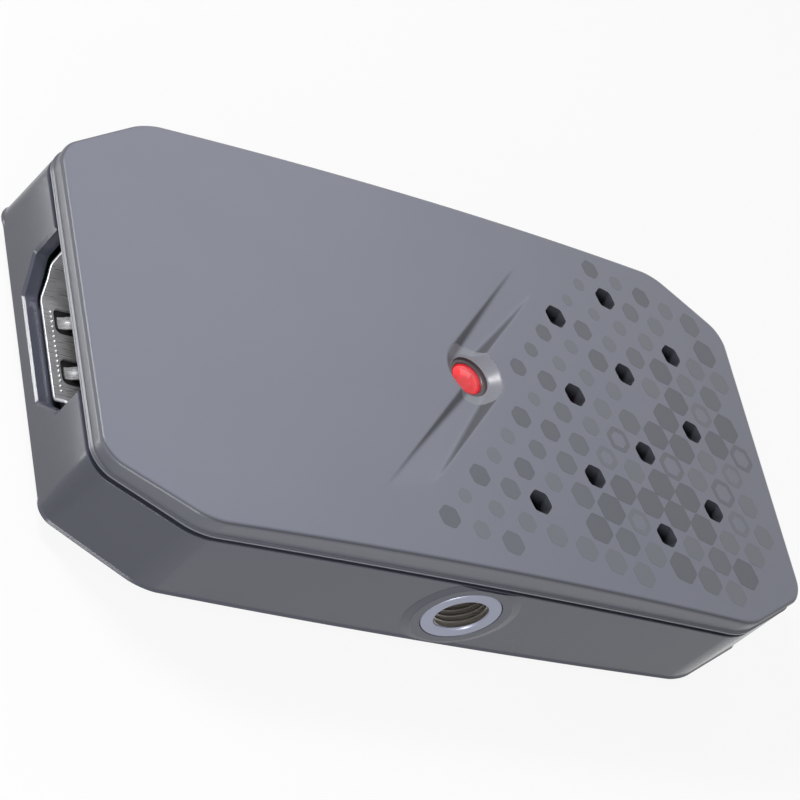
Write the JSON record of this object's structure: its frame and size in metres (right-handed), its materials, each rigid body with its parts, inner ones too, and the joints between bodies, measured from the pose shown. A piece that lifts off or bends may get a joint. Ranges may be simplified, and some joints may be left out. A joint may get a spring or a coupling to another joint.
{
  "type": "video capture box",
  "caption": "Flat elongated eight-sided video capture box with a crowned cover, red status light, HDMI input, USB-C output and a tripod thread in one long side.",
  "frame": {"origin": "middle of the box in plan, at the undersides of the feet", "axes": "+X along the case from the HDMI end to the USB-C end, -Y out of the long side with the tripod thread, +Z out of the cover face"},
  "size_m": [0.0782, 0.0408, 0.0132],
  "materials": {
    "cover_plastic": "fine-grained satin",
    "shell_plastic": "satin",
    "light_lens": "clear red, polished",
    "insert_metal": "turned",
    "foot_rubber": "matte",
    "dark_steel": "blackened",
    "bright_steel": "plated",
    "board": "solder mask",
    "socket_metal": "bright plated",
    "socket_plastic": "moulded",
    "contact_gold": "gold plated",
    "chip_black": "moulded epoxy",
    "thermal_pad": "soft matte",
    "sink_aluminium": "extruded",
    "lamp": "clear",
    "ferrite": "moulded",
    "ceramic": "fired"
  },
  "bodies": {
    "root": {"front_cover": "cover_plastic", "rear_shell": "shell_plastic", "light_pipe": "light_lens", "thread_insert": "insert_metal", "rubber_feet": "foot_rubber", "case_screws": "dark_steel", "board_screws": "bright_steel", "circuit_board": "board", "hdmi_shell": "socket_metal", "hdmi_tongue": "socket_plastic", "hdmi_contacts": "contact_gold", "usb_shell": "socket_metal", "usb_tongue": "socket_plastic", "usb_contacts": "contact_gold", "status_led": "lamp", "video_processor": "chip_black", "thermal_pad": "thermal_pad", "heatsink": "sink_aluminium", "hdmi_receiver": "chip_black", "memory_chip": "chip_black", "flash_chip": "chip_black", "crystal": "bright_steel", "power_inductors": "ferrite", "voltage_regulators": "chip_black", "capacitors": "ceramic", "resistor_arrays": "chip_black"}
  },
  "joints": []
}
